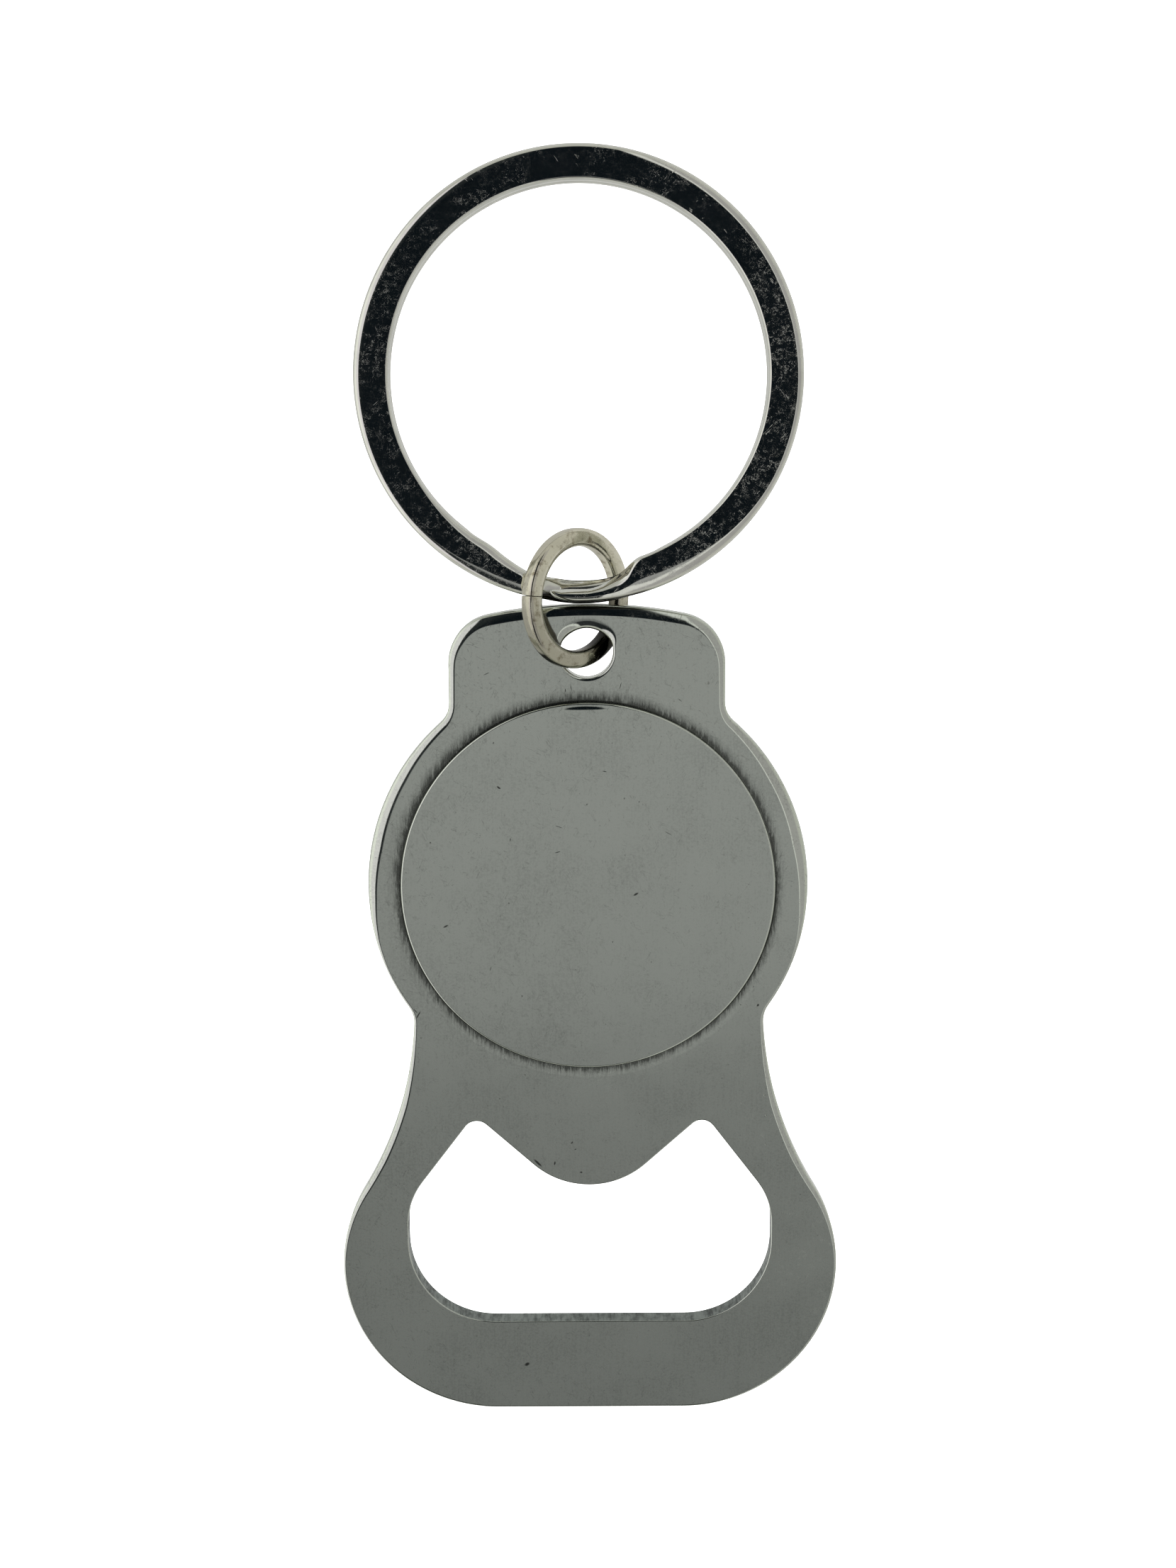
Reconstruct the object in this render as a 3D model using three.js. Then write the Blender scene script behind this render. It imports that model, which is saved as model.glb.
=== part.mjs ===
// Keychain bottle opener: a flat plate with a cap opening at one end and a
// hanging tab at the other, a round emblem disc bonded into a shallow seat,
// and two rings that link it to a bunch of keys.
// Millimetres. X is the plate's width, +Y runs towards the key ring, +Z is up
// out of the emblem face. The origin is on the plate's flat back, right
// behind the middle of the emblem.
import * as THREE from 'three';

const DEG = Math.PI / 180;

// ---- plate ---------------------------------------------------------------
const PLATE_THICK = 1.5;
const ROUND_RADIUS = 15.45;       // medallion-shaped middle of the plate
const TAB_HALF_WIDTH = 9.55;
const TAB_TOP_Y = 19.8;
const TAB_CROWN_RADIUS = 34;      // the tab's top edge is gently arched
const TAB_CORNER_RADIUS = 3.4;
const TAB_ROOT_RADIUS = 2;        // hollow fillet where the tab meets the round part
const HEAD_HALF_WIDTH = 17.9;     // widest place, beside the cap opening
const HEAD_END_Y = -39.4;
const HEAD_CORNER_RADIUS = 11.15;
const FLANK_RADIUS = 27.6;        // hollow side between the neck and the head
const FLANK_MEETS_CORNER = 31;    // degrees above level, measured on the corner arc
const NECK_RADIUS = 2;            // hollow fillet under the round part
const BACK_ROUNDING = 0.3;

// Front edge rounding around the outside, as [height along Y, radius]: heavily
// buffed on the tab and the round part, almost sharp round the head.
const FRONT_ROUNDING = [
  [TAB_TOP_Y, 0.88], [17.5, 0.8], [15.5, 0.48], [12.5, 0.42], [0, 0.7], [-6, 0.14],
  [-10, 0.2], [-16, 0.3], [-26, 0.14], [HEAD_END_Y, 0.14],
];

// ---- cap opening ---------------------------------------------------------
const OPENING_HALF_WIDTH = 13.15;
const OPENING_END_Y = -32.65;
const OPENING_CORNER_RADIUS = 6.25;
const SHOULDER_RADIUS = 5.5;
const SHOULDER_SLOPE = 53;        // degrees, outer side of each top lobe
const LOBE_RADIUS = 1;
const LOBE_TOP_Y = -17.25;
const TONGUE_TIP_Y = -22.1;       // the lip that catches under the cap
const TONGUE_RADIUS = 6;
const TONGUE_SLOPE = 42;          // degrees, sides of the tongue
const PUNCHED_ROUNDING = 0.08;

// ---- hanging hole --------------------------------------------------------
const HOLE_Y = 16.55;
const HOLE_RADIUS = 1.82;
const HOLE_ROUNDING = 0.2;

// ---- emblem --------------------------------------------------------------
const SEAT_RADIUS = 13.25;
const SEAT_DEPTH = 0.25;
const PAD_RADIUS = 12.6;
const PAD_THICK = 0.1;
const EMBLEM_RADIUS = 13.1;
const EMBLEM_THICK = 0.6;
const EMBLEM_ROUNDING = 0.12;

// ---- jump ring, held in the hanging hole and twisted half-way over --------
const JUMP_OUTER_RADIUS = 4.8;
const JUMP_WIRE_RADIAL = 1.25;
const JUMP_WIRE_AXIAL = 1.15;
const JUMP_CENTRE = new THREE.Vector3(-0.7, 20.25, PLATE_THICK / 2 + 0.7);
const JUMP_TWIST = 45;            // degrees about Y, left side towards the viewer
const JUMP_SEAM = 0.12;           // butt joint left open between the wire's ends

// ---- split ring: one flat wire wound twice --------------------------------
const SPLIT_OUTER_RADIUS = 15.13;
const SPLIT_WIRE_RADIAL = 2.4;
const SPLIT_WIRE_AXIAL = 1.1;
const SPLIT_COIL_GAP = 0.1;
const SPLIT_CENTRE = new THREE.Vector3(-0.45, 35.14, 0.67);
const SPLIT_LEAN = 3;             // degrees, the far side rests lower than the link
const SPLIT_LOW_END = -112;       // degrees round the ring, lower coil's free end
const SPLIT_BEND_FROM = -98;      // the wire steps up between these two angles
const SPLIT_BEND_TO = -107;
const SPLIT_TOP_END = -96.5;      // upper coil's free end
// Places along the wire where it is ground narrower on its inside, as
// [degrees wound from the lower end, share of the full width].
const SPLIT_WIDTHS = [
  [0, 0.7], [14, 1], [314, 1], [328, 0.65], [352, 0.65], [366, 1], [681, 1], [694, 0.4],
];

// A point on a plan outline: its position and the direction out of the metal.
function station(x, y, outX, outY) {
  return { x, y, outX, outY };
}

// An arc of stations. bulge is 1 where metal is inside the arc and -1 where
// the arc is a hollow in the metal.
function arc(centreX, centreY, radius, fromDeg, toDeg, stepDeg, bulge) {
  const steps = Math.max(1, Math.ceil(Math.abs(toDeg - fromDeg) / stepDeg));
  const stations = [];
  for (let i = 0; i <= steps; i++) {
    const angle = (fromDeg + (toDeg - fromDeg) * i / steps) * DEG;
    const c = Math.cos(angle);
    const s = Math.sin(angle);
    stations.push(station(centreX + radius * c, centreY + radius * s, bulge * c, bulge * s));
  }
  return stations;
}

function angleOf(fromX, fromY, toX, toY) {
  return Math.atan2(toY - fromY, toX - fromX) / DEG;
}

// Close a right-hand half outline with its mirror image, leaving out repeats.
function mirrored(half) {
  const left = half.map((p) => station(-p.x, p.y, -p.outX, p.outY)).reverse();
  const loop = [];
  for (const p of [...half, ...left]) {
    const last = loop[loop.length - 1];
    if (!last || Math.hypot(p.x - last.x, p.y - last.y) > 0.02) loop.push(p);
  }
  const first = loop[0];
  const end = loop[loop.length - 1];
  if (Math.hypot(first.x - end.x, first.y - end.y) < 0.02) loop.pop();
  return loop;
}

function plateOutline() {
  const crownY = TAB_TOP_Y - TAB_CROWN_RADIUS;
  const cornerX = TAB_HALF_WIDTH - TAB_CORNER_RADIUS;
  const crownToCorner = TAB_CROWN_RADIUS - TAB_CORNER_RADIUS;
  const cornerY = crownY + Math.sqrt(crownToCorner ** 2 - cornerX ** 2);
  const cornerAngle = angleOf(0, crownY, cornerX, cornerY);

  const rootX = TAB_HALF_WIDTH + TAB_ROOT_RADIUS;
  const rootY = Math.sqrt((ROUND_RADIUS + TAB_ROOT_RADIUS) ** 2 - rootX ** 2);
  const rootAngle = angleOf(0, 0, rootX, rootY);

  const headX = HEAD_HALF_WIDTH - HEAD_CORNER_RADIUS;
  const headY = HEAD_END_Y + HEAD_CORNER_RADIUS;
  const reach = HEAD_CORNER_RADIUS + FLANK_RADIUS;
  const flankX = headX + reach * Math.cos(FLANK_MEETS_CORNER * DEG);
  const flankY = headY + reach * Math.sin(FLANK_MEETS_CORNER * DEG);

  // The neck fillet touches the round part from outside and lies inside the
  // flank's circle, so its centre is where two offset circles cross.
  const toRound = ROUND_RADIUS + NECK_RADIUS;
  const toFlank = FLANK_RADIUS - NECK_RADIUS;
  const apart = Math.hypot(flankX, flankY);
  const along = (toRound ** 2 - toFlank ** 2 + apart ** 2) / (2 * apart);
  const aside = Math.sqrt(toRound ** 2 - along ** 2);
  const neckX = (flankX * along + flankY * aside) / apart;
  const neckY = (flankY * along - flankX * aside) / apart;
  const neckAngle = angleOf(0, 0, neckX, neckY);
  const flankStart = angleOf(flankX, flankY, neckX, neckY) + 360;
  const flankEnd = 180 + FLANK_MEETS_CORNER;

  return mirrored([
    ...arc(0, crownY, TAB_CROWN_RADIUS, 90, cornerAngle, 3, 1),
    ...arc(cornerX, cornerY, TAB_CORNER_RADIUS, cornerAngle, 0, 14, 1),
    ...arc(rootX, rootY, TAB_ROOT_RADIUS, 180, 180 + rootAngle, 14, -1),
    ...arc(0, 0, ROUND_RADIUS, rootAngle, neckAngle, 6, 1),
    ...arc(neckX, neckY, NECK_RADIUS, 180 + neckAngle, flankStart, 14, -1),
    ...arc(flankX, flankY, FLANK_RADIUS, flankStart, flankEnd, 4, -1),
    ...arc(headX, headY, HEAD_CORNER_RADIUS, FLANK_MEETS_CORNER, -90, 7, 1),
  ]);
}

function openingOutline() {
  const tongueY = TONGUE_TIP_Y + TONGUE_RADIUS;
  const slope = TONGUE_SLOPE * DEG;
  const lobeY = LOBE_TOP_Y - LOBE_RADIUS;
  // Walk up the tongue's side until the lobe's centre is at its own height.
  const sideX = (TONGUE_RADIUS + LOBE_RADIUS) * Math.sin(slope);
  const sideY = tongueY - (TONGUE_RADIUS + LOBE_RADIUS) * Math.cos(slope);
  const lobeX = sideX + (lobeY - sideY) / Math.tan(slope);

  const facing = (90 - SHOULDER_SLOPE) * DEG;
  const shoulderX = OPENING_HALF_WIDTH - SHOULDER_RADIUS;
  const startX = lobeX + LOBE_RADIUS * Math.cos(facing);
  const startY = lobeY + LOBE_RADIUS * Math.sin(facing);
  const touchX = shoulderX + SHOULDER_RADIUS * Math.cos(facing);
  const touchY = startY - (touchX - startX) * Math.tan(SHOULDER_SLOPE * DEG);
  const shoulderY = touchY - SHOULDER_RADIUS * Math.sin(facing);

  const cornerX = OPENING_HALF_WIDTH - OPENING_CORNER_RADIUS;
  const cornerY = OPENING_END_Y + OPENING_CORNER_RADIUS;
  return mirrored([
    ...arc(0, tongueY, TONGUE_RADIUS, -90, TONGUE_SLOPE - 90, 8, 1),
    ...arc(lobeX, lobeY, LOBE_RADIUS, TONGUE_SLOPE + 90, 90 - SHOULDER_SLOPE, 20, -1),
    ...arc(shoulderX, shoulderY, SHOULDER_RADIUS, 90 - SHOULDER_SLOPE, 0, 9, -1),
    ...arc(cornerX, cornerY, OPENING_CORNER_RADIUS, 0, -90, 9, -1),
  ]);
}

function circleOutline(centreY, radius, count, bulge) {
  return arc(0, centreY, radius, 0, 360, 360 / count, bulge).slice(0, count);
}

function frontRounding(y) {
  for (let i = 1; i < FRONT_ROUNDING.length; i++) {
    const [y0, r0] = FRONT_ROUNDING[i - 1];
    const [y1, r1] = FRONT_ROUNDING[i];
    if (y >= y1) return r0 + (r1 - r0) * Math.min(1, (y0 - y) / (y0 - y1));
  }
  return FRONT_ROUNDING[FRONT_ROUNDING.length - 1][1];
}

// Collects points and triangles for one closed body.
class Body {
  constructor() {
    this.points = [];
    this.index = [];
  }

  ring(places) {
    const start = this.points.length / 3;
    for (const [x, y, z] of places) this.points.push(x, y, z);
    return { start, count: places.length, places };
  }

  // Wall between two equal rings, facing outwards from the metal.
  wall(upper, lower, flip) {
    for (let i = 0; i < upper.count; i++) {
      const j = (i + 1) % upper.count;
      const a = upper.start + i;
      const b = upper.start + j;
      const c = lower.start + i;
      const d = lower.start + j;
      if (flip) this.index.push(a, b, d, a, d, c);
      else this.index.push(a, d, b, a, c, d);
    }
  }

  // Flat face bounded by one ring and any holes, facing up or down.
  face(outer, holes, up) {
    const rings = [outer, ...holes];
    const flat = rings.map((r) => r.places.map(([x, y]) => new THREE.Vector2(x, y)));
    const all = flat.flat();
    const ids = rings.flatMap((r) => r.places.map((_, i) => r.start + i));
    for (const [a, b, c] of THREE.ShapeUtils.triangulateShape(flat[0], flat.slice(1))) {
      const [p, q, r] = [all[a], all[b], all[c]];
      const turn = (q.x - p.x) * (r.y - p.y) - (q.y - p.y) * (r.x - p.x);
      if ((turn > 0) === up) this.index.push(ids[a], ids[b], ids[c]);
      else this.index.push(ids[a], ids[c], ids[b]);
    }
  }

  // Flat end cap on a swept wire.
  cap(ring, flip) {
    for (let i = 1; i < ring.count - 1; i++) {
      const [a, b, c] = [ring.start, ring.start + i, ring.start + i + 1];
      if (flip) this.index.push(a, c, b);
      else this.index.push(a, b, c);
    }
  }

  geometry() {
    const shape = new THREE.BufferGeometry();
    shape.setAttribute('position', new THREE.Float32BufferAttribute(this.points, 3));
    shape.setIndex(this.index);
    shape.computeVertexNormals();
    return shape;
  }
}

// Side of a plate along one outline: rounded into the front face and the
// back face. Returns the front and back rings that the flat faces start from.
function roundedSide(body, outline, top, bottom, frontRadius, backRadius, steps, clockwise) {
  const rings = [];
  for (let k = 0; k <= steps; k++) {
    const turn = k / steps * 90 * DEG;
    rings.push(body.ring(outline.map((p) => {
      const r = frontRadius(p);
      const inset = r * (1 - Math.sin(turn));
      return [p.x - p.outX * inset, p.y - p.outY * inset, top - r * (1 - Math.cos(turn))];
    })));
  }
  for (let k = steps; k >= 0; k--) {
    const turn = k / steps * 90 * DEG;
    const inset = backRadius * (1 - Math.sin(turn));
    const z = bottom + backRadius * (1 - Math.cos(turn));
    rings.push(body.ring(outline.map((p) => [p.x - p.outX * inset, p.y - p.outY * inset, z])));
  }
  for (let k = 1; k < rings.length; k++) body.wall(rings[k - 1], rings[k], clockwise);
  return { front: rings[0], back: rings[rings.length - 1] };
}

function openerBody() {
  const body = new Body();
  const seatFloorZ = PLATE_THICK - SEAT_DEPTH;
  const outside = roundedSide(body, plateOutline(), PLATE_THICK, 0,
    (p) => frontRounding(p.y), BACK_ROUNDING, 3, true);
  const opening = roundedSide(body, openingOutline(), PLATE_THICK, 0,
    () => PUNCHED_ROUNDING, PUNCHED_ROUNDING, 1, false);
  const hole = roundedSide(body, circleOutline(HOLE_Y, HOLE_RADIUS, 30, -1), PLATE_THICK, 0,
    () => HOLE_ROUNDING, HOLE_ROUNDING, 2, true);
  const seat = circleOutline(0, SEAT_RADIUS, 72, -1);
  const seatRim = body.ring(seat.map((p) => [p.x, p.y, PLATE_THICK]));
  const seatFoot = body.ring(seat.map((p) => [p.x, p.y, seatFloorZ]));
  body.wall(seatRim, seatFoot, true);
  body.face(seatFoot, [], true);
  body.face(outside.front, [opening.front, hole.front, seatRim], true);
  body.face(outside.back, [opening.back, hole.back], false);
  return body.geometry();
}

function adhesivePad() {
  const bottom = PLATE_THICK - SEAT_DEPTH;
  const profile = [
    [0, bottom], [PAD_RADIUS, bottom], [PAD_RADIUS, bottom + PAD_THICK], [0, bottom + PAD_THICK],
  ];
  return turned(profile, 64);
}

function emblemDisc() {
  const bottom = PLATE_THICK - SEAT_DEPTH + PAD_THICK;
  const top = bottom + EMBLEM_THICK;
  const profile = [[0, bottom], [EMBLEM_RADIUS - 0.05, bottom], [EMBLEM_RADIUS, bottom + 0.05]];
  for (let k = 0; k <= 3; k++) {
    const turn = k * 30 * DEG;
    profile.push([
      EMBLEM_RADIUS - EMBLEM_ROUNDING * (1 - Math.cos(turn)),
      top - EMBLEM_ROUNDING * (1 - Math.sin(turn)),
    ]);
  }
  profile.push([0, top]);
  return turned(profile, 72);
}

// Solid of revolution about Z from [radius, height] pairs.
function turned(profile, segments) {
  const lathe = new THREE.LatheGeometry(profile.map(([r, z]) => new THREE.Vector2(r, z)), segments);
  lathe.rotateX(90 * DEG);
  return lathe;
}

// Wire section with softened corners: a squared-off ellipse.
function wireSection(width, height, count, squareness) {
  const section = [];
  for (let i = 0; i < count; i++) {
    const angle = (i + 0.5) / count * 360 * DEG;
    const c = Math.cos(angle);
    const s = Math.sin(angle);
    section.push([
      Math.sign(c) * Math.abs(c) ** squareness * width / 2,
      Math.sign(s) * Math.abs(s) ** squareness * height / 2,
    ]);
  }
  return section;
}

// Wire bent clockwise round the Z axis inside the radius `outer`. placeAt(t)
// gives the angle in degrees, the height of the wire's middle and the share
// of its width that is left; the ring stays open with two flat ends.
function bentWire(outer, width, section, steps, placeAt) {
  const body = new Body();
  const rings = [];
  for (let i = 0; i <= steps; i++) {
    const { degrees, height, share } = placeAt(i / steps);
    const c = Math.cos(degrees * DEG);
    const s = Math.sin(degrees * DEG);
    rings.push(body.ring(section.map(([out, up]) => {
      const radius = outer - (width / 2 - out) * share;
      return [radius * c, radius * s, height + up];
    })));
  }
  for (let i = 1; i < rings.length; i++) body.wall(rings[i - 1], rings[i], true);
  body.cap(rings[0], true);
  body.cap(rings[rings.length - 1], false);
  return body.geometry();
}

function jumpRing() {
  const middle = JUMP_OUTER_RADIUS - JUMP_WIRE_RADIAL / 2;
  const section = wireSection(JUMP_WIRE_RADIAL, JUMP_WIRE_AXIAL, 12, 0.8);
  const seamHalf = JUMP_SEAM / 2 / middle / DEG;
  const ring = bentWire(JUMP_OUTER_RADIUS, JUMP_WIRE_RADIAL, section, 54, (t) =>
    ({ degrees: 180 - seamHalf - t * (360 - 2 * seamHalf), height: 0, share: 1 }));
  ring.rotateY(JUMP_TWIST * DEG);
  ring.translate(JUMP_CENTRE.x, JUMP_CENTRE.y, JUMP_CENTRE.z);
  return ring;
}

// Straight-line reading of SPLIT_WIDTHS.
function widthShare(wound) {
  const next = SPLIT_WIDTHS.findIndex(([place]) => place > wound);
  if (next === 0) return SPLIT_WIDTHS[0][1];
  if (next < 0) return SPLIT_WIDTHS[SPLIT_WIDTHS.length - 1][1];
  const [from, before] = SPLIT_WIDTHS[next - 1];
  const [to, after] = SPLIT_WIDTHS[next];
  return before + (after - before) * (wound - from) / (to - from);
}

function splitRing() {
  const section = wireSection(SPLIT_WIRE_RADIAL, SPLIT_WIRE_AXIAL, 12, 0.5);
  const level = (SPLIT_WIRE_AXIAL + SPLIT_COIL_GAP) / 2;
  const total = 720 + SPLIT_LOW_END - SPLIT_TOP_END;
  const bendStart = 360 + SPLIT_LOW_END - SPLIT_BEND_FROM;
  const bendEnd = 360 + SPLIT_LOW_END - SPLIT_BEND_TO;
  const ring = bentWire(SPLIT_OUTER_RADIUS, SPLIT_WIRE_RADIAL, section, 180, (t) => {
    const wound = t * total;
    const step = Math.min(1, Math.max(0, (wound - bendStart) / (bendEnd - bendStart)));
    return {
      degrees: SPLIT_LOW_END - wound,
      height: -level * Math.cos(step * 180 * DEG),
      share: widthShare(wound),
    };
  });
  ring.rotateX(-SPLIT_LEAN * DEG);
  ring.translate(SPLIT_CENTRE.x, SPLIT_CENTRE.y, SPLIT_CENTRE.z);
  return ring;
}

function mesh(name, geometry, color, roughness, metalness) {
  const material = new THREE.MeshStandardMaterial({ color, roughness, metalness });
  const solid = new THREE.Mesh(geometry, material);
  solid.name = name;
  return solid;
}

const opener = new THREE.Group();
opener.name = 'keychain_bottle_opener';
opener.add(
  mesh('opener_body', openerBody(), 0x8b8e88, 0.22, 1),
  mesh('adhesive_pad', adhesivePad(), 0xd8d4c4, 0.8, 0),
  mesh('emblem_disc', emblemDisc(), 0x92958f, 0.15, 1),
  mesh('jump_ring', jumpRing(), 0xb3ae9a, 0.25, 1),
  mesh('split_ring', splitRing(), 0x9a9c9c, 0.12, 1),
);

export default opener;
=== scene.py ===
"""Looks of the keychain bottle opener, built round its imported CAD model.

Shapes are worked out in millimetres in the frame of the CAD model and turned
into metres when a mesh is made: +X is the plate's width, +Y runs towards the
key ring, +Z is out of the emblem face, and z = 0 is the plate's flat back.
"""

import math

import bpy
import numpy as np
from mathutils import Matrix, Vector
from mathutils.geometry import delaunay_2d_cdt

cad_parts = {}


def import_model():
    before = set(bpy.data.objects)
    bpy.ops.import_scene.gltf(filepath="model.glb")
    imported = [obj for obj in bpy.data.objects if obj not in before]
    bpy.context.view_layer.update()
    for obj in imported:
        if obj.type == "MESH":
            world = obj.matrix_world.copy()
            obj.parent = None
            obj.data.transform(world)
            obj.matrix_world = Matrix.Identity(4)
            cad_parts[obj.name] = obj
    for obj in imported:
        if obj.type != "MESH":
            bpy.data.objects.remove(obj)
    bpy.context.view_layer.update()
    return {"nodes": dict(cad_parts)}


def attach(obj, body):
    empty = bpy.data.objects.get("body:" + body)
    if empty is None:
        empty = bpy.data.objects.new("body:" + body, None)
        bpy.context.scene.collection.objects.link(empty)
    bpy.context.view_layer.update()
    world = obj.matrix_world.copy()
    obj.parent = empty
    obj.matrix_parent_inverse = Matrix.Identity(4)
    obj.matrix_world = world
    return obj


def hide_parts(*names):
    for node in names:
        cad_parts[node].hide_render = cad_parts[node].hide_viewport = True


MM = 0.001

# ---- shapes as in the CAD source -------------------------------------------
# The plate.
PLATE_THICK = 1.5
ROUND_RADIUS = 15.45
TAB_HALF_WIDTH = 9.55
TAB_TOP_Y = 19.8
TAB_CROWN_RADIUS = 34
TAB_CORNER_RADIUS = 3.4
TAB_ROOT_RADIUS = 2
HEAD_HALF_WIDTH = 17.9
HEAD_END_Y = -39.4
HEAD_CORNER_RADIUS = 11.15
FLANK_RADIUS = 27.6
FLANK_MEETS_CORNER = 31
NECK_RADIUS = 2
BACK_ROUNDING = 0.3

# The cap opening and its tongue.
OPENING_HALF_WIDTH = 13.15
OPENING_END_Y = -32.65
OPENING_CORNER_RADIUS = 6.25
SHOULDER_RADIUS = 5.5
SHOULDER_SLOPE = 53
LOBE_RADIUS = 1
LOBE_TOP_Y = -17.25
TONGUE_TIP_Y = -22.1
TONGUE_RADIUS = 6
TONGUE_SLOPE = 42
PUNCHED_ROUNDING = 0.08

# The hanging hole.
HOLE_Y = 16.55
HOLE_RADIUS = 1.82
HOLE_ROUNDING = 0.2

# The disc in its seat.
SEAT_RADIUS = 13.25
SEAT_DEPTH = 0.25
PAD_THICK = 0.1
EMBLEM_RADIUS = 13.1
EMBLEM_THICK = 0.6
EMBLEM_ROUNDING = 0.12

# The jump ring, a bent wire twisted half-way over.
JUMP_OUTER_RADIUS = 4.8
JUMP_WIRE_RADIAL = 1.25
JUMP_WIRE_AXIAL = 1.15
JUMP_CENTRE = (-0.7, 20.25, 1.45)
JUMP_TWIST = 45

# The split ring, one flat wire wound twice. Angles are degrees round the ring.
SPLIT_OUTER_RADIUS = 15.13
SPLIT_WIRE_RADIAL = 2.4
SPLIT_WIRE_AXIAL = 1.1
SPLIT_COIL_GAP = 0.1
SPLIT_CENTRE = (-0.45, 35.14, 0.67)
SPLIT_LEAN = 3
SPLIT_LOW_END = -112
SPLIT_BEND_FROM = -98         # the wire steps from coil to coil between these two
SPLIT_BEND_TO = -107
# Places along the wire where it is ground narrower on its inside, as
# (degrees wound from the lower end, share of the full width).
SPLIT_WIDTHS = [
    (0, 0.7), (14, 1), (314, 1), (328, 0.65), (352, 0.65), (366, 1), (681, 1), (694, 0.4),
]

# ---- details that only the looks have --------------------------------------
# How finely curves are cut up.
OUTLINE_STEP = 0.3            # spacing of points along the plate's outlines
LOBE_STEP = 0.12              # and round the small lobes of the cap opening
STRAIGHT_STEP = OUTLINE_STEP * 1.6
SAME_POINT = 0.02             # points nearer than this are taken as one
BUFFED_STEPS = 10
PUNCHED_STEPS = 4
HOLE_SEGMENTS = 96
DISC_SEGMENTS = 288
JUMP_SECTION_POINTS = 48
JUMP_RINGS = 220

# Front edge rounding as (height along Y, radius), bottom to top, measured
# closer than the CAD's.
FRONT_ROUNDING = [
    (HEAD_END_Y, 0.14), (-28, 0.16), (-24, 0.32), (-20, 0.5), (-16, 0.5), (-12, 0.3),
    (-9, 0.18), (-6, 0.14), (-4, 0.25), (-1, 0.62), (3, 0.88), (8, 0.8), (11, 0.6),
    (13, 0.45), (15.5, 0.5), (17.5, 0.72), (TAB_TOP_Y, 0.74),
]
BUFF_LEAD_IN = 3.0            # how much flatter a buffed edge starts than it ends
HOLE_TOP_WEAR = 0.42          # extra rounding where the jump ring has worn the hole
HOLE_TOP_ROLL = 0.22          # and how far the worn metal is rolled into the hole
HOLE_WEAR_RISE = (0.2, 1.1)   # the height over the hole's middle at which each
HOLE_ROLL_RISE = (0.4, 1.2)   # starts, and over which it grows
SHADOW_RING_WIDTH = 0.75      # dip left round the disc where the buff didn't reach
SHADOW_RING_DIP = 0.035
SHADOW_RING_STEPS = 6
# Spot pressed into the disc by its rim: middle, half width and half height,
# how much its ends curve down with the rim, and depth.
DISC_SPOT_AT = (-0.15, 12.88)
DISC_SPOT_SIZE = (1.2, 0.16)
DISC_SPOT_BOW = 0.04
DISC_SPOT_DEPTH = 0.026
DISC_FOOT_BEVEL = 0.05
JUMP_SEAM = 0.03              # pressed shut, where the CAD leaves a clear slit
JUMP_SEAM_AT = 173.5          # degrees round the ring
JUMP_SQUARENESS = 0.6         # 1 is a round wire, 0 a square one
JUMP_END_ROUNDING = 0.05
SPLIT_END_ROUNDING = 0.1
SPLIT_TOP_END = -98           # its rounded point reaches a little past the CAD's square end
# Where on the ring, in degrees, its outer and its inner edge are rubbed most.
SPLIT_OUTER_RUBBED_AT = -85
SPLIT_INNER_RUBBED_AT = -105
SPLIT_FAR_RUB = 0.42          # how rubbed the outer edge is on the far side
# Places along the wire, in degrees wound from the lower end.
SPLIT_STEP_SPAN = (300, 375)  # the step from coil to coil
SPLIT_NECK_SPAN = (312, 351)  # the narrow neck in it
SPLIT_BULGE_AT = 336
SPLIT_GROUND_FROM = 665       # the ground upper end,
SPLIT_SLOPE_FROM = 679        # where its inside starts to lean
SPLIT_SLANT_AT = 687          # and where it leans most
# Rounding of the split ring's flat wire as (outer, inner, depth), where it is
# as drawn and where the jump ring has rubbed it.
SPLIT_CORNERS = (0.4, 0.2, 0.42)
SPLIT_CORNERS_RUBBED = (1.0, 0.85, 0.5)
SPLIT_TIP_FACET = 0.24        # how far the ground slope leans in at the upper end
SPLIT_SLANT_FACET = 0.4       # and how much further where the end narrows
SPLIT_TIP_LENGTH = 7          # degrees over which the upper end comes to a rounded point
SPLIT_TIP_INWARD = 0.6        # how far that point lies in from the wire's outer side
SPLIT_BULGE = 0.16            # lower coil pushed outwards under the upper end
SPLIT_NECK_BEVEL = 0.85       # metal ground off the inside of the neck's upper face

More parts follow.
